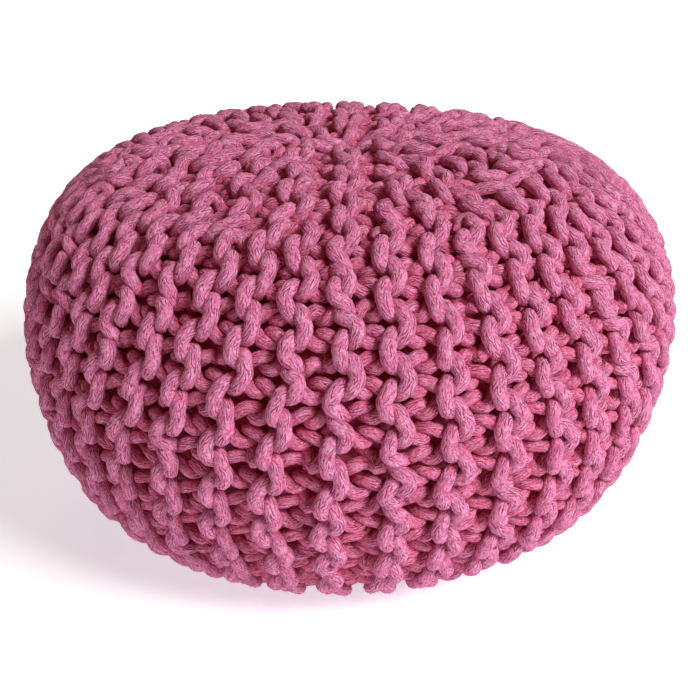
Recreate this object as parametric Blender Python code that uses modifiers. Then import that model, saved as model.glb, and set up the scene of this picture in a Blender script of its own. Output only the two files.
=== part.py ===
"""Round knitted pouf: a thick cord cover with ribs from pole to pole, drawn together over a filled inner bag.

The frame is metres with +Z up. The origin is the middle of the underside, and -Y is the front.
"""

import bmesh
import bpy
import numpy as np

# Driving sizes of the whole pouf, outer face of the cord included
RADIUS = 0.250
HEIGHT = 0.297
WAIST = 0.157            # height of the widest ring
TOP_SIDE_POWER = 4.57    # how square the shoulder is
TOP_RISE_POWER = 1.94
FOOT_SIDE_POWER = 6.45
FOOT_RISE_POWER = 1.65
LEAN = 0.006             # how far the top sits to +X of the underside
TOP_TILT = 0.030         # fall of the top towards +X, per metre
DIMPLE = 0.006           # how far the gathered middle of the top is drawn in
DIMPLE_RADIUS = 0.028

# The knit
RIBS = 48
STITCH = 0.0332          # length of a stitch along its rib
RIB_PHASE = np.radians(-0.84)
RIB_DEPTH = 0.012        # crest to valley
CREST_SWAY = 0.15        # sideways sway of a crest from half stitch to half stitch, in rib widths
VALLEY_SWAY = 0.05
LOOP_SWELL = 0.0012      # every second half stitch stands this much less proud
# Distance from a pole at which each rib ends, for twelve ribs that follow each other
RIB_ENDS = (0.008, 0.100, 0.200, 0.050, 0.100, 0.200, 0.028, 0.100, 0.200, 0.050, 0.100, 0.200)
END_FADE = 0.034         # length over which an ending rib dies out
SQUEEZE = 0.12           # width left to an ended rib, in whole ribs
# Below the waist the ribs spread apart at the front and close up at the back
SPREAD = 0.24
SPREAD_MIDDLE = np.radians(10)
SPREAD_START = 0.230
SPREAD_LENGTH = 0.170

# Wall, mouth and bag
WALL = 0.024             # from the crests to the inside of the cover
MOUTH_RADIUS = 0.0018    # the drawn-in middle of the underside
FOOT_RADIUS = 0.128      # the flat that the pouf rests on
FOOT_FADE = 0.030
GAP = 0.0005             # between the cover and the bag
INNER_ROWS = 11
BAG_COLUMNS = RIBS

MERGE = 0.00005


def quarter(height, side_power, rise_power, count=600):
    """One quarter of the outline: radius and rise, from the axis out to the widest ring."""
    turn = np.linspace(0, np.pi / 2, count)
    share = np.unique(np.concatenate([np.linspace(0, 1, count), np.sin(turn) ** (2 / side_power)]))
    return RADIUS * share, height * np.maximum(0, 1 - share ** side_power) ** (1 / rise_power)


def outline():
    """Radius, height and travelled length of the outline, from the top of the axis to its foot."""
    top_radius, top_rise = quarter(HEIGHT - WAIST, TOP_SIDE_POWER, TOP_RISE_POWER)
    foot_radius, foot_drop = quarter(WAIST, FOOT_SIDE_POWER, FOOT_RISE_POWER)
    radius = np.concatenate([top_radius, foot_radius[::-1][1:]])
    height = np.concatenate([WAIST + top_rise, WAIST - foot_drop[::-1][1:]])
    travel = np.concatenate([[0], np.cumsum(np.hypot(np.diff(radius), np.diff(height)))])
    return radius, height, travel


OUTLINE = outline()
ARC = OUTLINE[2][-1]


def section(travel, depth):
    """Radius and height of a point at a travelled length along the outline, a depth inside it."""
    radius, height, length = OUTLINE
    step = 0.001
    before = np.clip(travel - step, 0, ARC)
    after = np.clip(travel + step, 0, ARC)
    along_r = np.interp(after, length, radius) - np.interp(before, length, radius)
    along_z = np.interp(after, length, height) - np.interp(before, length, height)
    size = np.hypot(along_r, along_z)
    at_r = np.interp(travel, length, radius) + depth * along_z / size
    at_z = np.interp(travel, length, height) - depth * along_r / size
    return max(at_r, 0.0), at_z


def smooth(value):
    """An even rise from 0 to 1."""
    value = np.clip(value, 0, 1)
    return value * value * (3 - 2 * value)


def settle(angle, radius, height):
    """Places a point round the axis, with the pouf's lean, its tilted top and its drawn-in middle."""
    upper = smooth((height - WAIST) / (HEIGHT - WAIST))
    x = radius * np.cos(angle)
    height -= upper * (TOP_TILT * x + DIMPLE * np.exp(-(radius / DIMPLE_RADIUS) ** 2))
    x += LEAN * (height - WAIST) / HEIGHT
    return x, radius * np.sin(angle), height


def rib_shares(travel):
    """How much of each rib is left at a travelled length. Most ribs end before a pole."""
    ends = np.array([RIB_ENDS[rib % len(RIB_ENDS)] for rib in range(RIBS)])
    return smooth((min(travel, ARC - travel) - ends) / END_FADE + 0.6)


def spread_front(angle, travel):
    """The angle of a point once the ribs have spread at the front below the waist."""
    share = smooth((travel - SPREAD_START) / SPREAD_LENGTH) * smooth((ARC - travel) / SPREAD_LENGTH)
    return angle + share * SPREAD * np.sin(angle + np.pi / 2 - SPREAD_MIDDLE)


def column_point(column, row, travel):
    """A point of the cover's outer face. Columns are crest, valley, crest and so on."""
    is_crest = column % 2 == 0
    rib = column // 2
    shares = rib_shares(travel)
    widths = SQUEEZE + (1 - SQUEEZE) * shares
    before = widths[:rib].sum() + widths[rib] * (0.5 if is_crest else 1.0)
    around = (before - widths[0] / 2) / widths.sum()
    sway = (CREST_SWAY if is_crest else VALLEY_SWAY) * (1 if row % 2 else -1) * widths[rib] / widths.sum()
    flat = smooth((section(travel, 0)[0] - FOOT_RADIUS) / FOOT_FADE) if travel > ARC / 2 else 1.0
    life = shares[rib] if is_crest else 0.0
    depth = flat * (RIB_DEPTH * (1 - life) + LOOP_SWELL * life * (row % 2))
    radius, height = section(travel, depth)
    angle = RIB_PHASE - np.pi / 2 + 2 * np.pi * (around + sway * life * flat)
    return settle(spread_front(angle, travel), radius, height)


def outer_travels():
    """Lengths along the outline of the outer rows: two a stitch, down to the flat foot, then the foot's own edge."""
    radius, _, length = OUTLINE
    lower = length > ARC / 2
    foot = np.interp(-FOOT_RADIUS, -radius[lower], length[lower])
    mouth = np.interp(-MOUTH_RADIUS, -radius[lower], length[lower])
    rows = int(round(foot / (STITCH / 2)))
    return list(np.linspace(0, foot, rows + 1)) + [mouth]


def inner_sections(gap):
    """The inside of the wall, or what lies a gap within it, from the mouth up to the axis at the top."""
    mouth = outer_travels()[-1]
    rows = [section(travel, WALL + gap) for travel in np.linspace(mouth, 0, INNER_ROWS + 1)]
    rows[-1] = (0.0, rows[-1][1])
    return rows


def turned(name, rows, columns):
    """A mesh turned from an outline that runs down the outside, as a closed body."""
    mesh = bpy.data.meshes.new(name)
    mesh.from_pydata([(r, 0, z) for r, z in rows], [(i, i + 1) for i in range(len(rows) - 1)], [])
    piece = bpy.data.objects.new(name, mesh)
    COLLECTION.objects.link(piece)
    screw = piece.modifiers.new("turn", "SCREW")
    screw.axis = "Z"
    screw.steps = screw.render_steps = columns
    screw.use_merge_vertices = True
    screw.merge_threshold = MERGE
    solid = bpy.data.meshes.new_from_object(piece.evaluated_get(bpy.context.evaluated_depsgraph_get()))
    piece.modifiers.clear()
    piece.data = solid
    bpy.data.meshes.remove(mesh)
    return piece


def material(name, colour, roughness):
    """A plain cloth finish."""
    cloth = bpy.data.materials.new(name)
    cloth.use_nodes = True
    shader = cloth.node_tree.nodes["Principled BSDF"]
    shader.inputs["Base Color"].default_value = (*colour, 1)
    shader.inputs["Roughness"].default_value = roughness
    shader.inputs["Metallic"].default_value = 0.0
    return cloth


def finish(piece, cloth):
    """Gives a piece its finish and shades its round faces smooth."""
    piece.data.materials.clear()
    piece.data.materials.append(cloth)
    piece.data.shade_smooth()


def knitted_cover():
    """The hollow cover: turned plain first, then its outer points take up the ribs and the half stitches."""
    travels = outer_travels()
    outer = [section(travel, 0) for travel in travels]
    outer[0] = (0.0, outer[0][1])
    outer[-2] = (outer[-2][0], 0.0)
    outer[-1] = (outer[-1][0], 0.0)
    inner = inner_sections(0)
    rows = np.array(outer + inner)
    piece = turned("knitted_cover", rows, RIBS * 2)
    for vertex in piece.data.vertices:
        x, y, z = vertex.co
        row = int(np.argmin(np.hypot(rows[:, 0] - np.hypot(x, y), rows[:, 1] - z)))
        column = int(round(np.arctan2(y, x) / np.pi * RIBS)) % (RIBS * 2)
        if row < len(travels) - 2:
            vertex.co = column_point(column, row, travels[row])
        else:
            angle = RIB_PHASE + column * np.pi / RIBS - np.pi / 2
            vertex.co = settle(angle, *rows[row])
    split_across(piece)
    return piece


def split_across(piece):
    """Splits each four-sided face across its shorter way, so that the crests run from bump to bump."""
    work = bmesh.new()
    work.from_mesh(piece.data)
    bmesh.ops.triangulate(work, faces=work.faces[:], quad_method="SHORT_EDGE")
    work.to_mesh(piece.data)
    work.free()


def inner_bag():
    """The filled bag, which fits the inside of the cover."""
    rows = inner_sections(GAP)[::-1]
    rows.append((0.0, rows[-1][1]))
    piece = turned("inner_bag", rows, BAG_COLUMNS)
    for vertex in piece.data.vertices:
        x, y, z = vertex.co
        angle = np.arctan2(y, x) + RIB_PHASE - np.pi / 2
        vertex.co = settle(angle, np.hypot(x, y), z)
    return piece


for old in list(bpy.data.objects):
    bpy.data.objects.remove(old)

COLLECTION = bpy.data.collections.new("round_pouf")
bpy.context.scene.collection.children.link(COLLECTION)
finish(knitted_cover(), material("pink cotton cord", (0.56, 0.10, 0.23), 0.9))
finish(inner_bag(), material("pink bag cloth", (0.60, 0.12, 0.27), 0.8))
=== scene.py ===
import bpy
import numpy as np
from mathutils import Matrix, Vector, kdtree


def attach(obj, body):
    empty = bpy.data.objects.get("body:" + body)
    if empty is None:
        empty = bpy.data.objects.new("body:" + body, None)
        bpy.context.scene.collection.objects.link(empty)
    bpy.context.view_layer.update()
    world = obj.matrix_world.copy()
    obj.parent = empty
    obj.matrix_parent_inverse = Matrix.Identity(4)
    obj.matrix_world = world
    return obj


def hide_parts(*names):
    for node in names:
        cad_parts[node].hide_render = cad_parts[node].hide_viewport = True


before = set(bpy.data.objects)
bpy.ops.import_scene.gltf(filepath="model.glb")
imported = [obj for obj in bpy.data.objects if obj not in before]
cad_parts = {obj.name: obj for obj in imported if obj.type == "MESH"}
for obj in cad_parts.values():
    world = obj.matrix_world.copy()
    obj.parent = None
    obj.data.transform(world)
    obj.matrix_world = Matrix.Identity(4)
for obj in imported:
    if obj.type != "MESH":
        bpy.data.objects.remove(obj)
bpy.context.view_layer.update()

# The pouf's outline, as the solids have it
RADIUS = 0.250
HEIGHT = 0.297
WAIST = 0.157            # height of the widest ring
TOP_SIDE_POWER = 4.57    # exponents of the radius and of the rise: the larger, the squarer
TOP_RISE_POWER = 1.94
FOOT_SIDE_POWER = 6.45   # the same below the waist
FOOT_RISE_POWER = 1.65
OUTLINE_POINTS = 600     # points of each quarter of the outline
SLOPE_STEP = 0.002       # how far to each side the outline's slope is read
LEAN = 0.006             # how far the top stands to the right of the foot
TOP_TILT = 0.030         # slope of the top, down to the right
DIMPLE = 0.006           # depth of the drawn-in middle of the top
DIMPLE_RADIUS = 0.028

# The knit: ribs run from pole to pole, and on the front of a rib lie the heads of one course and the
# sinkers of the next
RIBS = 48
COURSES = 2 * RIBS
RIB_PHASE = np.radians(-0.84)
CORD = 0.0099            # diameter of the cord
CORD_FLATTENING = 0.05   # how much a front arc is pressed wide, as a share of the diameter
STITCH = 0.0332          # length of a stitch along its rib
LOOP_WIDENING = 0.148    # how far a loop widens over its own neck, in stitches
LOOP_ROUNDING = 0.070    # how much less it widens at its very end, which rounds it
LOOP_REACH = 0.87        # how far a loop reaches to each side, in widths of its course
LOOP_ROOM = 0.0165       # width of a course that gives its loops all their room
LOOP_CROWDING = 0.30     # how much of the missing room a squeezed loop takes from its neighbours
LOOP_SLANT = (0.0022, 0.0006)  # how far the ends of heads and of sinkers lean, their upper ends to the left
LOOP_TILT = (0.0014, 0.0)      # how much deeper those upper ends lie
LOOP_DEPTH = 0.0080      # half the way from the back arcs to the front arcs
LOOP_WEAVE = 0.0023      # half of how far a leg weaves in and out between its neighbours
LEG_THINNING = 0.08      # how much thinner the cord is drawn behind the front arcs
FABRIC = 0.0265          # thickness of the knit
LAYOUT_STEPS = 1200      # travelled lengths at which the courses are laid out
TOP_LIMIT = 0.004        # how near the cord comes to the top's middle, along the outline
FOOT_LIMIT = 0.010       # how near it comes to the foot's middle
LEAST_RADIUS = 0.012     # nearer to the axis, a shift to the side turns a point no further

# Where the ribs end: distances from a pole, for ribs that follow each other
TOP_ENDS = (0.017, 0.150, 0.083, 0.167, 0.050, 0.133, 0.083, 0.183, 0.000, 0.150, 0.100, 0.167,
            0.033, 0.150, 0.083, 0.183, 0.050, 0.167, 0.100, 0.150, 0.017, 0.183, 0.083, 0.167)
FOOT_ENDS = (0.000, 0.083, 0.150, 0.050, 0.083, 0.150, 0.033, 0.083, 0.133, 0.050, 0.083, 0.150)
END_FADE = 0.034         # length over which a course narrows to its end
END_LEAD = 0.3           # share of that length that lies past the end
END_WIDTH = 0.03         # share of its width left to an ended course
END_DEPTH = 0.8          # how deep a rib's end lies, as a share of the way to the knit's back
END_REACH = 0.3          # share of their reach that loops keep at a rib's end
DIVE = 0.45              # length over which a rib's end goes behind its neighbours, in stitches

# Below the waist the ribs spread apart at the front and close up at the back
SPREAD = 0.24            # how much the widest rib gains, as a share
SPREAD_MIDDLE = np.radians(10)  # turn from the front to the widest rib, to the right
SPREAD_START = 0.230     # travelled length where it begins
SPREAD_LENGTH = 0.170    # length over which it grows, and over which it ends at the foot
SPREAD_STEP = 0.01       # turn over which its slope is read

# Unevenness, each with the seed of its random draws
DRIFT = 0.0014           # how far the stitches stray from an even grid
DRIFT_LENGTHS = (0.110, 0.071, 0.047)  # of its waves
DRIFT_WAVES = 3          # waves of each length
DRIFT_SEED = 3
TRAVEL_WAVER = 0.0012    # how far the loops waver along their rib
REACH_WAVER = 0.0010     # how far they waver in reach
WAVER_SEED = 7
UNEVENNESS = 0.035       # how much the cord's thickness varies
UNEVENNESS_SEED = 5

# How the cord pushes itself apart where its strands cross
PACKING = 0.80           # how near two strands may lie, in diameters
RELAX_STEPS = 24
SEARCH_STEPS = 15        # steps from one search for near strands to the next
SEARCH_REACH = 1.5       # how far a search looks, in diameters
SEARCH_SKIP = 3          # neighbours along the cord that a search leaves out
CROWD_SHARE = 0.5        # how much each push on a point weakens the others
LENGTH_STEPS = 3         # passes a step that bring back the cord's own length
LENGTH_PULL = 0.5        # share of the way that a pass goes
HOME_PULL = 0.07         # share of the way back to the laid path, a step
STIFFNESS = 0.06         # share of a bend that is straightened, a step
TINY = 1e-6              # keeps a division from being by nothing

# Meshes
POINTS = 18              # points of the cord's path a stitch
RINGS = 2                # rings of the cord's skin a point
SIDES = 9                # corners of a ring
PIECES = 8               # lengths that the cover's cord is cut into
BAG_DEPTH = 0.0225       # how deep the bag lies: it swells in between the inmost arcs
BAG_ROWS = 40
BAG_COLUMNS = 96

# The cord's finish. A scale is a number of grains a metre
BRAID_COLUMNS = 12       # columns of slanted strands round the cord
BRAID_PITCH = 0.0056     # from strand to strand along the cord
BRAID_SLANT = 1.50       # rise of a strand across its column, in pitches
COLUMN_SWAY = 1.3        # how far a column strays round the cord, in columns
COLUMN_SWAY_SCALE = 120.0
STRAND_SWAY = 0.9        # how far a strand strays along the cord, in pitches
STRAND_SWAY_SCALE = 140.0
STRAND_ROUNDNESS = 3.0
FIBRE_SCALES = (2.4, 210.0, 4.0)  # grains a strand, a metre of the cord, and a turn round it
BREAK_SCALES = (0.9, 160.0, 6.0)
HEATHER_SCALE = 640.0
PATCH_SCALE = 34.0
PATCH_DEPTH = 0.30       # how much the depth where the painted shade sets in varies by patches
GROOVE_HEIGHTS = (0.80, 0.25)  # heights on a strand where a groove begins and where it is full
GROOVE_BREAKS = (0.42, 0.54)   # grains where a break in a groove ends and where it is full again
GROOVE_LEFT = 0.05       # how much of a broken groove is left
ARC_DEPTHS = (0.90, 0.15)      # depths in the knit where the arcs' colour begins over the painted shade and where it is full
GRAIN_HEATHER = 0.65
GRAIN_FIBRES = 0.55
FLUFF_GRAINS = (0.57, 0.71)
FLUFF_MOST = 0.9
FLUFF_DEEP = 0.35        # share of the fluff deep in the knit
FLUFF_SHALLOW = 0.60     # how much more of it there is on the arcs: painted light there, against the painted shade deep in the knit
SHADE_GRAINS = (0.54, 0.42)
SHADE_MOST = 0.74
# how strongly the grooves between strands get their painted shade
GROOVE_SHADE_SHARE = 0.78
# painted shade: the darker, redder colour deep in the knit's recesses
DEEP_SHADE_COLOUR = (0.82, 0.012, 0.085, 1)
ARC_COLOUR = (0.75, 0.180, 0.365, 1)
FLUFF_COLOUR = (0.87, 0.50, 0.72, 1)
# painted shade in the grooves between strands
GROOVE_SHADE_COLOUR = (0.28, 0.010, 0.080, 1)
SHADE_COLOUR = (0.26, 0.016, 0.085, 1)
FIBRE_RELIEF = 1.3
GROOVE_RELIEF = 0.7
HEATHER_RELIEF = 0.9
CORD_RELIEF = 0.0010     # height of the whole relief
CORD_RELIEF_STRENGTH = 1.0
CORD_SURFACE = {"Roughness": 0.95, "Specular IOR Level": 0.1, "Sheen Weight": 0.03, "Sheen Roughness": 0.5,
                "Sheen Tint": (1.0, 0.72, 0.84, 1)}

# The bag's finish
YARN_SCALE = 420.0       # gives about 1,300 yarns a metre
YARN_SWAY = 0.6
BAG_PATCH_SCALE = 45.0
BAG_PATCHES = (0.35, 0.65)
CREASE_SCALE = 60.0
CREASE_SWAY = 1.5
BAG_DARK_COLOUR = (0.78, 0.080, 0.200, 1)
BAG_COLOUR = (0.90, 0.200, 0.350, 1)
YARN_COLOUR = (0.86, 0.30, 0.46, 1)
YARN_SHARE = 0.35
YARN_RELIEF = 0.12
BAG_RELIEF = 0.0030
BAG_RELIEF_STRENGTH = 0.6
BAG_SURFACE = {"Roughness": 0.8, "Sheen Weight": 0.2}

# The studio
FLOOR_SIZE = 8
FLOOR_MIDDLE = (0, 2.5, 0)
FLOOR_SURFACE = {"Base Color": (0.86, 0.86, 0.86, 1), "Roughness": 0.9,
                 "Emission Color": (0.88, 0.96, 1, 1), "Emission Strength": 0.60}
ROOM_COLOUR = (1.0, 0.38, 0.28, 1)
ROOM_STRENGTH = 0.19
BACKDROP_COLOUR = (1.0, 1.0, 1.0, 1)
# Each light's name, place, the point that it faces, power and width
LIGHTS = (("key", (2.93, -2.52, 2.93), (0, 0, 0.15), 238, 1.65),
          ("back", (0.0, 3.2, 1.9), (0, 3.4, 0), 36, 2.4))

# The camera
CAMERA_DISTANCE = 0.909  # from the middle of the pouf's height
CAMERA_ELEVATION = np.radians(21.908)
CAMERA_PITCH = np.radians(-1.705)  # turned in its own place, like the roll
CAMERA_ROLL = np.radians(-1.415)
CAMERA_LENS = 58.7
CAMERA_NEAR = 0.01


def quarter(height, side_power, rise_power):
    """One quarter of the outline: radius and rise, from the axis out to the widest ring."""
    turn = np.linspace(0, np.pi / 2, OUTLINE_POINTS)
    even = np.linspace(0, 1, OUTLINE_POINTS)
    share = np.unique(np.concatenate([even, np.sin(turn) ** (2 / side_power)]))
    return RADIUS * share, height * np.maximum(0, 1 - share ** side_power) ** (1 / rise_power)


def outline():
    """Radius, height and travelled length of the outline from the top of the axis down to its foot."""
    top_radius, top_rise = quarter(HEIGHT - WAIST, TOP_SIDE_POWER, TOP_RISE_POWER)
    foot_radius, foot_drop = quarter(WAIST, FOOT_SIDE_POWER, FOOT_RISE_POWER)
    radius = np.concatenate([top_radius, foot_radius[::-1][1:]])
    height = np.concatenate([WAIST + top_rise, WAIST - foot_drop[::-1][1:]])
    travel = np.concatenate([[0], np.cumsum(np.hypot(np.diff(radius), np.diff(height)))])
    return radius, height, travel


OUTLINE_RADIUS, OUTLINE_HEIGHT, OUTLINE_TRAVEL = outline()
ARC = OUTLINE_TRAVEL[-1]


def outline_at(travel):
    """Radius and height of the outline at a travelled length."""
    radius = np.interp(travel, OUTLINE_TRAVEL, OUTLINE_RADIUS)
    height = np.interp(travel, OUTLINE_TRAVEL, OUTLINE_HEIGHT)
    return radius, height


def on_outline(travel):
    """Radius, height, and the radius and height parts of the outward normal at a travelled length."""
    radius_before, height_before = outline_at(np.clip(travel - SLOPE_STEP, 0, ARC))
    radius_after, height_after = outline_at(np.clip(travel + SLOPE_STEP, 0, ARC))
    along_r = radius_after - radius_before
    along_z = height_after - height_before
    size = np.hypot(along_r, along_z)
    radius, height = outline_at(travel)
    return radius, height, -along_z / size, along_r / size


def place(angle, travel, out):
    """World points from an angle round the axis, a travelled length and a height over the outline."""
    radius, height, normal_r, normal_z = on_outline(travel)
    radius = radius + out * normal_r
    return np.stack([radius * np.cos(angle), radius * np.sin(angle), height + out * normal_z], axis=1)


def offsets(points, travel):
    """How far points lie over the outline at a travelled length, and how far further along it."""
    radius, height, normal_r, normal_z = on_outline(travel)
    off_r = np.hypot(points[:, 0], points[:, 1]) - radius
    off_z = points[:, 2] - height
    return off_r * normal_r + off_z * normal_z, off_r * normal_z - off_z * normal_r


def outward(points, travel, size=1.0):
    """Steps of a size along the outline's outward normals, at points beside it."""
    normal_r, normal_z = on_outline(travel)[2:]
    angle = np.arctan2(points[:, 1], points[:, 0])
    step_x = size * normal_r * np.cos(angle)
    step_y = size * normal_r * np.sin(angle)
    return np.stack([step_x, step_y, size * normal_z], axis=1)


def smooth(value):
    """An even rise from 0 to 1."""
    value = np.clip(value, 0, 1)
    return value * value * (3 - 2 * value)


def settle(points):
    """The pouf's lean, its tilted top and its drawn-in middle."""
    x, y, z = points.T
    upper = smooth((z - WAIST) / (HEIGHT - WAIST))
    z = z - upper * (TOP_TILT * x + DIMPLE * np.exp(-(x * x + y * y) / DIMPLE_RADIUS ** 2))
    return np.stack([x + LEAN * (z - WAIST) / HEIGHT, y, z], axis=1)


def course_ends(course):
    """Distances from the top and from the foot of the axis at which a course ends.

    Two courses share each turn: the two of a rib at the top, and those of neighbouring ribs at the foot.
    """
    return TOP_ENDS[(course // 2) % len(TOP_ENDS)], FOOT_ENDS[((course - 1) // 2) % len(FOOT_ENDS)]


def spread_front(angle, travel):
    """The angle of a point once the ribs have spread at the front below the waist."""
    share = smooth((travel - SPREAD_START) / SPREAD_LENGTH) * smooth((ARC - travel) / SPREAD_LENGTH)
    return angle + share * SPREAD * np.sin(angle + np.pi / 2 - SPREAD_MIDDLE)


def layout(travel):
    """Angle of each course's middle, and each course's width, at travelled lengths."""
    shares = []
    for course in range(COURSES):
        top, foot = course_ends(course)
        live_above = smooth((travel - top) / END_FADE + END_LEAD)
        live_below = smooth((ARC - travel - foot) / END_FADE + END_LEAD)
        shares.append(END_WIDTH + (1 - END_WIDTH) * (live_above * live_below))
    shares = np.array(shares)
    total = shares.sum(axis=0)
    middles = (np.cumsum(shares, axis=0) - shares / 2 - shares[0]) / total
    angles = 2 * np.pi * middles + RIB_PHASE - np.pi / 2
    spot = spread_front(angles, travel)
    stretch = (spread_front(angles + SPREAD_STEP, travel) - spot) / SPREAD_STEP
    widths = shares / total * 2 * np.pi * stretch * on_outline(travel)[0]
    return spot, widths


def waver(rng, count, scale, size):
    """A smooth random line of count values, with a new random height every scale values."""
    knots = rng.normal(0, size, int(count / scale) + 4)
    at = np.arange(count) / scale + 1
    low = at.astype(int)
    part = smooth(at - low)
    return knots[low] * (1 - part) + knots[low + 1] * part


def drift(points):
    """How far stitches stray at these points, sideways and along their rib."""
    rng = np.random.default_rng(DRIFT_SEED)
    moves = np.zeros((2, len(points)))
    for length in DRIFT_LENGTHS:
        for move in moves:
            ways = rng.normal(size=(DRIFT_WAVES, 3))
            ways *= 2 * np.pi / length / np.linalg.norm(ways, axis=1)[:, None]
            starts = rng.uniform(0, 2 * np.pi, DRIFT_WAVES)
            move += np.sin(points @ ways.T + starts).sum(axis=1)
    return moves * DRIFT / 2


def course_path(course, rng, grid, angles, widths):
    """One course of the cord, from the top down: its points and their travelled lengths.

    It swings from side to side, half a stitch from arc to arc. An arc is wider than the neck between its
    legs, and on its way from one side to the other the cord goes through the knit.
    """
    top, foot = course_ends(course)
    first = round(2 * top / STITCH) / 2
    last = round(2 * (ARC - foot) / STITCH) / 2
    count = int((last - first) * POINTS) + 1
    stitch = np.linspace(first, last, count)
    phase = 2 * np.pi * stitch
    widening = LOOP_WIDENING * np.sin(2 * phase) - LOOP_ROUNDING * np.sin(4 * phase)
    travel = STITCH * (stitch + widening) + waver(rng, count, POINTS, TRAVEL_WAVER)
    travel = np.clip(travel, TOP_LIMIT, ARC - FOOT_LIMIT)
    width = np.interp(travel, grid, widths)
    room = width + LOOP_CROWDING * np.maximum(0, LOOP_ROOM - width)
    reach = LOOP_REACH * room + waver(rng, count, POINTS, REACH_WAVER)
    standing = smooth(np.minimum(stitch - first, last - stitch) / DIVE)
    side = LOOP_SLANT[course % 2] * np.sin(2 * phase) - reach * np.cos(phase)
    side = side * (END_REACH + (1 - END_REACH) * standing)
    front = 1 if course % 2 else -1
    weave = LOOP_WEAVE * (np.cos(3 * phase) - np.cos(5 * phase))
    swing = front * (LOOP_DEPTH * np.cos(phase) + weave)
    out = -FABRIC / 2 + swing + LOOP_TILT[course % 2] * np.sin(2 * phase)
    out = standing * out + (1 - standing) * (CORD / 2 - FABRIC) * END_DEPTH
    angle = np.interp(travel, grid, angles)
    sideways, onward = drift(place(angle, travel, np.zeros(count)))
    radius = np.maximum(on_outline(travel)[0], LEAST_RADIUS)
    angle = angle + (side + sideways) / radius
    travel = np.clip(travel + onward, TOP_LIMIT, ARC - FOOT_LIMIT)
    return place(angle, travel, out), travel


def cord_path():
    """The cord's path through all the courses, up one and down the next, as one closed ring of points."""
    rng = np.random.default_rng(WAVER_SEED)
    grid = np.linspace(0, ARC, LAYOUT_STEPS)
    angles, widths = layout(grid)
    points = []
    travels = []
    for course in range(COURSES):
        course_points, travel = course_path(course, rng, grid, angles[course], widths[course])
        if course % 2 == 0:
            course_points = course_points[::-1]
            travel = travel[::-1]
        points.append(course_points)
        travels.append(travel)
    return np.concatenate(points), np.concatenate(travels)


def near_pairs(points, reach, skip):
    """Pairs of points of a ring that are near in space but not along the ring."""
    tree = kdtree.KDTree(len(points))
    for index, point in enumerate(points):
        tree.insert(point, index)
    tree.balance()
    first = []
    second = []
    for index, point in enumerate(points):
        for _, other, _ in tree.find_range(point, reach):
            gap = other - index
            if gap > skip and len(points) - gap > skip:
                first.append(index)
                second.append(other)
    return np.array(first), np.array(second)


def sum_rows(values, index, size):
    """Sum of rows of values by index."""
    return np.stack([np.bincount(index, values[:, axis], size) for axis in range(3)], axis=1)


def push_apart(points, first, second):
    """Moves the points of near pairs apart where their strands lie nearer than the packing lets them."""
    size = len(points)
    gap = points[second] - points[first]
    distance = np.maximum(np.linalg.norm(gap, axis=1), TINY)
    overlap = np.maximum(0, CORD * PACKING - distance)
    push = gap * (0.5 * overlap / distance)[:, None]
    hits = np.bincount(first, overlap > 0, size) + np.bincount(second, overlap > 0, size)
    move = sum_rows(push, second, size) - sum_rows(push, first, size)
    return points + move / np.maximum(1, CROWD_SHARE * hits)[:, None]


def keep_length(points, length):
    """Moves neighbours along the ring back towards their own distance."""
    link = np.roll(points, -1, 0) - points
    now = np.maximum(np.linalg.norm(link, axis=1), TINY)
    pull = link * (0.5 * (now - length) / now)[:, None]
    return points + LENGTH_PULL * (pull - np.roll(pull, 1, 0))


def relax(points, travel):
    """Lets the cord push itself apart where it would run through itself.

    It keeps nearly its own length, and stays within the knit's wall.
    """
    length = np.linalg.norm(np.roll(points, -1, 0) - points, axis=1)
    home = points.copy()
    for step in range(RELAX_STEPS):
        if step % SEARCH_STEPS == 0:
            first, second = near_pairs(points, CORD * SEARCH_REACH, SEARCH_SKIP)
        points = push_apart(points, first, second)
        for _ in range(LENGTH_STEPS):
            points = keep_length(points, length)
        middle = (np.roll(points, -1, 0) + np.roll(points, 1, 0)) / 2
        points = points + STIFFNESS * (middle - points)
        points = points + HOME_PULL * (home - points)
        onward = offsets(points, travel)[1]
        travel = np.clip(travel + onward, 0.0, ARC)
        out = offsets(points, travel)[0]
        fix = np.clip(out, CORD / 2 - FABRIC, -CORD / 2) - out
        points = points + outward(points, travel, fix)
    return points, travel


def refine(points, times):
    """A smooth ring through a ring of points."""
    before, here, after, beyond = (np.roll(points, shift, 0) for shift in (1, 0, -1, -2))
    rows = []
    for part in np.arange(times) / times:
        rows.append(0.5 * (2 * here + (after - before) * part
                           + (2 * before - 5 * here + 4 * after - beyond) * part ** 2
                           + (3 * here - before - 3 * after + beyond) * part ** 3))
    return np.stack(rows, 1).reshape(-1, 3)


def section_directions(path, normal):
    """Two directions across a path: one in the knit's face, and one through it."""
    along = np.gradient(path, axis=0)
    along /= np.linalg.norm(along, axis=1)[:, None]
    across = np.cross(along, normal)
    across -= along * np.sum(across * along, 1)[:, None]
    across /= np.linalg.norm(across, axis=1)[:, None]
    return across, np.cross(along, across)


def skin_offsets(path, normal, out, fullness):
    """Rings of steps from a path to the cord's skin.

    The cord is full and pressed wide on the front arcs, and thinner and narrower behind them.
    """
    across, through = section_directions(path, normal)
    lying = smooth((out + FABRIC / 2) / (FABRIC / 2 - CORD / 2))
    half = CORD / 2 * (1 - LEG_THINNING * (1 - lying)) * fullness
    wide = half * (1 + CORD_FLATTENING * (2 * lying - 1))
    deep = half ** 2 / wide
    turn = np.arange(SIDES) / SIDES * 2 * np.pi
    offset = (across * wide[:, None])[:, None, :] * np.cos(turn)[None, :, None]
    return offset + (through * deep[:, None])[:, None, :] * np.sin(turn)[None, :, None]


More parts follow.
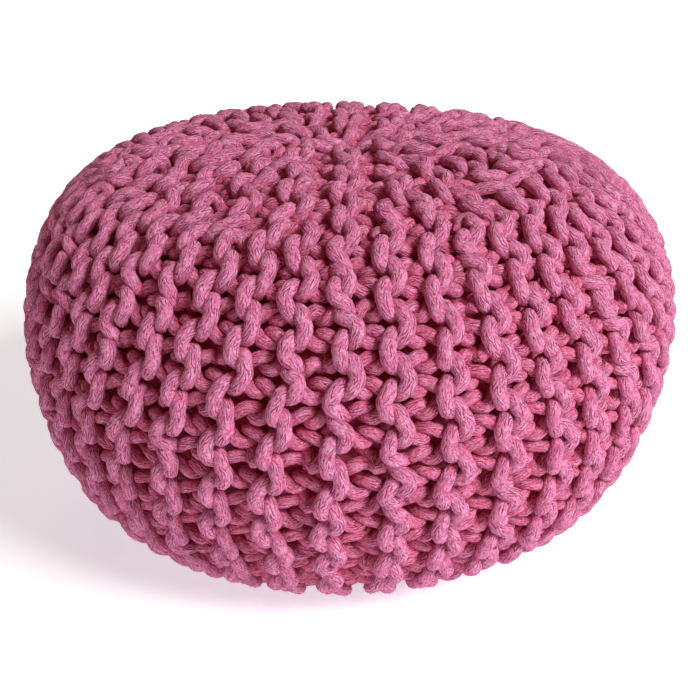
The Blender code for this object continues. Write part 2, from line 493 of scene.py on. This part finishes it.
def map_length(mesh, run):
    """Writes the finish's map on a tube: the length along the cord, and the turn round it."""
    side = np.tile(np.arange(SIDES), len(run) - 1)
    row = np.repeat(np.arange(len(run) - 1), SIDES)
    u = np.stack([run[row], run[row], run[row + 1], run[row + 1]], 1)
    v = np.stack([side, side + 1, side + 1, side], 1) / SIDES
    flat = np.zeros((len(mesh.loops), 2))
    flat[:u.size, 0] = u.reshape(-1)
    flat[:u.size, 1] = v.reshape(-1)
    mesh.uv_layers.new(name="cord").data.foreach_set("uv", flat.reshape(-1))


def add_piece(name, verts, faces, look):
    """A smooth mesh object with its finish."""
    mesh = bpy.data.meshes.new(name)
    mesh.from_pydata(verts, [], faces)
    mesh.shade_smooth()
    piece = bpy.data.objects.new(name, mesh)
    bpy.context.scene.collection.objects.link(piece)
    piece.data.materials.append(look)
    return piece


def tube(name, path, normal, out, fullness, start, look):
    """A closed tube along an open path, with a map of length and turn for its finish, and its depth in the
    knit for the finish's painted light and shade.
    """
    rings = len(path)
    offset = skin_offsets(path, normal, out, fullness)
    ring = np.arange(rings - 1)[:, None] * SIDES
    side = np.arange(SIDES)[None, :]
    after = (side + 1) % SIDES
    faces = np.stack([ring + side, ring + after, ring + SIDES + after, ring + SIDES + side], 2)
    faces = faces.reshape(-1, 4).tolist()
    faces.append(list(range(SIDES))[::-1])
    faces.append([(rings - 1) * SIDES + corner for corner in range(SIDES)])
    piece = add_piece(name, (path[:, None, :] + offset).reshape(-1, 3), faces, look)
    run = start + np.concatenate([[0], np.cumsum(np.linalg.norm(np.diff(path, axis=0), axis=1))])
    map_length(piece.data, run)
    depth = -out[:, None] - np.sum(offset * normal[:, None, :], axis=2)
    written = piece.data.attributes.new("depth", "FLOAT", "POINT")
    written.data.foreach_set("value", depth.reshape(-1) / FABRIC)
    return piece, run[-1]


class Nodes:
    """Short calls for building a finish out of nodes."""

    def __init__(self, name):
        self.look = bpy.data.materials.new(name)
        self.look.use_nodes = True
        self.tree = self.look.node_tree
        self.shader = self.tree.nodes["Principled BSDF"]

    def add(self, kind, outlet=0, settings=None, **inputs):
        """One outlet of a new node with its settings and inputs.

        An input goes by its name, or by i and its number.
        """
        node = self.tree.nodes.new(kind)
        for key, value in (settings or {}).items():
            setattr(node, key, value)
        for key, value in inputs.items():
            socket = node.inputs[int(key[1:])] if key[0] == "i" and key[1:].isdigit() else node.inputs[key]
            self.feed(socket, value)
        return node.outputs[outlet]

    def feed(self, socket, value):
        """Links an output to a socket, or sets the socket to a value."""
        if isinstance(value, bpy.types.NodeSocket):
            self.tree.links.new(value, socket)
        else:
            socket.default_value = value

    def sums(self, operation, first, second=0.0, third=0.0):
        """One step of arithmetic."""
        return self.add("ShaderNodeMath", settings={"operation": operation}, i0=first, i1=second, i2=third)

    def noise(self, spot, scale, detail, **more):
        """Random grain."""
        return self.add("ShaderNodeTexNoise", Vector=spot, Scale=scale, Detail=detail, **more)

    def stretched(self, scales, across, along, around):
        """Places for a grain that is stretched on the cord."""
        return self.add("ShaderNodeCombineXYZ", X=self.sums("MULTIPLY", across, scales[0]),
                        Y=self.sums("MULTIPLY", along, scales[1]), Z=self.sums("MULTIPLY", around, scales[2]))

    def ramp(self, value, ends, least=0.0, most=1.0):
        """A value that goes from least to most between two ends."""
        return self.add("ShaderNodeMapRange", i0=value, i1=ends[0], i2=ends[1], i3=least, i4=most)

    def blend(self, share, first, second):
        """A colour between two colours, by way of a mix node's colour sockets."""
        return self.add("ShaderNodeMix", 2, {"data_type": "RGBA"}, i0=share, i6=first, i7=second)

    def close(self, colour, height, strength, distance, surface):
        """Gives the finish its colour, relief and surface values."""
        self.feed(self.shader.inputs["Base Color"], colour)
        set_inputs(self.shader, surface)
        bump = self.add("ShaderNodeBump", Strength=strength, Distance=distance, Height=height)
        self.feed(self.shader.inputs["Normal"], bump)
        return self.look


def set_inputs(node, values):
    """Sets a node's inputs by name."""
    for name, value in values.items():
        node.inputs[name].default_value = value


def cord_finish():
    """Braided cotton cord, heathered: slanted strands in columns that lean to and fro.

    Deep inside the knit the colour is darker and redder, painted shade; the arcs carry more of the pale
    fluff, painted light. The fluff itself is heathered cotton. There are darker fibres all over it.
    """
    make = Nodes("cotton cord")
    split = make.tree.nodes.new("ShaderNodeSeparateXYZ")
    make.feed(split.inputs[0], make.add("ShaderNodeUVMap", settings={"uv_map": "cord"}))
    run, turn = split.outputs[0], split.outputs[1]
    spot = make.add("ShaderNodeTexCoord", "Object")

    # Strands, rounded, with broken grooves between them, which get relief and painted shade
    sway = make.noise(spot, COLUMN_SWAY_SCALE, detail=1.0)
    column = make.sums("MULTIPLY_ADD", sway, COLUMN_SWAY, make.sums("MULTIPLY", turn, BRAID_COLUMNS))
    column = make.sums("PINGPONG", column, 1.0)
    strand = make.sums("MULTIPLY_ADD", column, BRAID_SLANT, make.sums("MULTIPLY", run, 1 / BRAID_PITCH))
    strand = make.sums("MULTIPLY_ADD", make.noise(spot, STRAND_SWAY_SCALE, detail=1.0), STRAND_SWAY, strand)
    ridge = make.sums("MULTIPLY", make.sums("PINGPONG", strand, 0.5), 2.0)
    hollow = make.sums("POWER", make.sums("SUBTRACT", 1.0, ridge), STRAND_ROUNDNESS)
    groove = make.ramp(make.sums("SUBTRACT", 1.0, hollow), GROOVE_HEIGHTS)
    breaks = make.noise(make.stretched(BREAK_SCALES, strand, run, turn), scale=1.0, detail=1.0)
    groove = make.sums("MULTIPLY", groove, make.ramp(breaks, GROOVE_BREAKS, least=GROOVE_LEFT))

    # Fine grain: fibres along the strands and heathered cotton
    fibres = make.stretched(FIBRE_SCALES, strand, run, turn)
    fibres = make.noise(fibres, scale=1.0, detail=2.5, Roughness=0.7)
    heather = make.noise(spot, HEATHER_SCALE, detail=3.0, Roughness=0.8)
    grain = make.sums("MULTIPLY_ADD", heather, GRAIN_HEATHER, make.sums("MULTIPLY", fibres, GRAIN_FIBRES))

    # Painted shade and light by depth in the knit, then fluff, the grooves' painted shade and dark fibres
    # over it
    depth = make.add("ShaderNodeAttribute", "Fac", settings={"attribute_name": "depth"})
    depth = make.sums("ADD", depth, -PATCH_DEPTH / 2)
    depth = make.sums("MULTIPLY_ADD", make.noise(spot, PATCH_SCALE, detail=2.0), PATCH_DEPTH, depth)
    shallow = make.ramp(depth, ARC_DEPTHS)
    colour = make.blend(shallow, DEEP_SHADE_COLOUR, ARC_COLOUR)
    fluff = make.sums("MULTIPLY", make.ramp(grain, FLUFF_GRAINS, most=FLUFF_MOST),
                      make.sums("MULTIPLY_ADD", shallow, FLUFF_SHALLOW, FLUFF_DEEP))
    colour = make.blend(fluff, colour, FLUFF_COLOUR)
    colour = make.blend(make.sums("MULTIPLY", groove, GROOVE_SHADE_SHARE), colour, GROOVE_SHADE_COLOUR)
    colour = make.blend(make.ramp(grain, SHADE_GRAINS, most=SHADE_MOST), colour, SHADE_COLOUR)

    height = make.sums("SUBTRACT", make.sums("MULTIPLY", fibres, FIBRE_RELIEF),
                       make.sums("MULTIPLY", groove, GROOVE_RELIEF))
    height = make.sums("MULTIPLY_ADD", heather, HEATHER_RELIEF, height)
    return make.close(colour, height, CORD_RELIEF_STRENGTH, CORD_RELIEF, CORD_SURFACE)


def bag_finish():
    """Fine plain-woven cotton, a little uneven in tone, with soft creases."""
    make = Nodes("bag cloth")
    spot = make.add("ShaderNodeTexCoord", "Object")
    yarns = []
    for settings in ({"wave_type": "RINGS", "rings_direction": "Z"},
                     {"wave_type": "BANDS", "bands_direction": "Z"}):
        yarns.append(make.add("ShaderNodeTexWave", "Fac", settings=settings, Vector=spot, Scale=YARN_SCALE,
                              Distortion=YARN_SWAY, Detail=1.0))
    weave = make.sums("MULTIPLY", *yarns)
    tone = make.ramp(make.noise(spot, BAG_PATCH_SCALE, detail=3.0), BAG_PATCHES)
    colour = make.blend(tone, BAG_DARK_COLOUR, BAG_COLOUR)
    colour = make.blend(make.sums("MULTIPLY", weave, YARN_SHARE), colour, YARN_COLOUR)
    creases = make.noise(spot, CREASE_SCALE, detail=2.0, Distortion=CREASE_SWAY)
    height = make.sums("MULTIPLY_ADD", weave, YARN_RELIEF, creases)
    return make.close(colour, height, BAG_RELIEF_STRENGTH, BAG_RELIEF, BAG_SURFACE)


def knit():
    """The whole cover, cut into lengths of cord that meet end to end."""
    points, travel = cord_path()
    points, travel = relax(points, travel)
    path = refine(points, RINGS)
    travel = refine(np.stack([travel] * 3, 1), RINGS)[:, 0]
    out = offsets(path, travel)[0]
    normal = outward(path, travel)
    path = settle(path)
    look = cord_finish()
    size = len(path)
    fullness = 1 + waver(np.random.default_rng(UNEVENNESS_SEED), size, POINTS / 2, UNEVENNESS)
    run = 0.0
    for number in range(PIECES):
        low = number * size // PIECES
        high = (number + 1) * size // PIECES + 1
        index = np.arange(low, high) % size
        name = f"cover_cord_{number + 1}"
        piece, run = tube(name, path[index], normal[index], out[index], fullness[index], run, look)
        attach(piece, "root")
        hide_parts("knitted_cover")


def bag():
    """The filled bag inside the cover, in rings of points between two poles."""
    angle = np.arange(BAG_COLUMNS) / BAG_COLUMNS * 2 * np.pi
    depth = np.full(BAG_COLUMNS, -BAG_DEPTH)
    rings = []
    for travel in np.linspace(0, ARC, BAG_ROWS + 1)[1:-1]:
        rings.append(place(angle, np.full(BAG_COLUMNS, travel), depth))
    verts = settle(np.concatenate(rings))
    poles = settle(place(np.zeros(2), np.array([0.0, ARC]), depth[:2]))
    poles[:, :2] = 0
    faces = []
    for row in range(BAG_ROWS - 2):
        upper = row * BAG_COLUMNS
        lower = upper + BAG_COLUMNS
        for column in range(BAG_COLUMNS):
            after = (column + 1) % BAG_COLUMNS
            faces.append([upper + column, lower + column, lower + after, upper + after])
    top = len(verts)
    foot = top + 1
    last = (BAG_ROWS - 2) * BAG_COLUMNS
    for column in range(BAG_COLUMNS):
        after = (column + 1) % BAG_COLUMNS
        faces.append([top, column, after])
        faces.append([foot, last + after, last + column])
    piece = add_piece("bag", np.concatenate([verts, poles]), faces, bag_finish())
    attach(piece, "root")
    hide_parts("inner_bag")


def ground():
    """A plain white floor with a little light of its own."""
    bpy.ops.mesh.primitive_plane_add(size=FLOOR_SIZE, location=FLOOR_MIDDLE)
    floor = bpy.context.object
    floor.name = "floor"
    look = bpy.data.materials.new("floor")
    look.use_nodes = True
    set_inputs(look.node_tree.nodes["Principled BSDF"], FLOOR_SURFACE)
    floor.data.materials.append(look)


def room():
    """Warm dim light from all sides, before a white backdrop."""
    world = bpy.data.worlds.new("studio")
    bpy.context.scene.world = world
    world.use_nodes = True
    nodes = world.node_tree.nodes
    links = world.node_tree.links
    set_inputs(nodes["Background"], {"Color": ROOM_COLOUR, "Strength": ROOM_STRENGTH})
    backdrop = nodes.new("ShaderNodeBackground")
    set_inputs(backdrop, {"Color": BACKDROP_COLOUR})
    seen = nodes.new("ShaderNodeLightPath")
    mix = nodes.new("ShaderNodeMixShader")
    links.new(seen.outputs["Is Camera Ray"], mix.inputs[0])
    links.new(nodes["Background"].outputs[0], mix.inputs[1])
    links.new(backdrop.outputs[0], mix.inputs[2])
    links.new(mix.outputs[0], nodes["World Output"].inputs["Surface"])


def studio():
    """The floor, the room and the soft lights."""
    bpy.context.scene.view_settings.view_transform = "Standard"
    ground()
    room()
    for name, spot, aim, power, size in LIGHTS:
        light = bpy.data.lights.new(name, "AREA")
        light.energy = power
        light.size = size
        lamp = bpy.data.objects.new(name, light)
        lamp.location = spot
        lamp.rotation_euler = (Vector(aim) - Vector(spot)).to_track_quat("-Z", "Y").to_euler()
        bpy.context.scene.collection.objects.link(lamp)


def camera():
    """The photo's viewpoint."""
    data = bpy.data.cameras.new("camera")
    data.lens = CAMERA_LENS
    data.clip_start = CAMERA_NEAR
    view = bpy.data.objects.new("camera", data)
    bpy.context.scene.collection.objects.link(view)
    spot = Matrix.Translation((0, 0, HEIGHT / 2)) @ Matrix.Rotation(np.pi / 2 - CAMERA_ELEVATION, 4, "X")
    view.matrix_world = (spot @ Matrix.Translation((0, 0, CAMERA_DISTANCE))
                         @ Matrix.Rotation(CAMERA_PITCH, 4, "X") @ Matrix.Rotation(CAMERA_ROLL, 4, "Z"))
    bpy.context.scene.camera = view


camera()
bag()
knit()
studio()
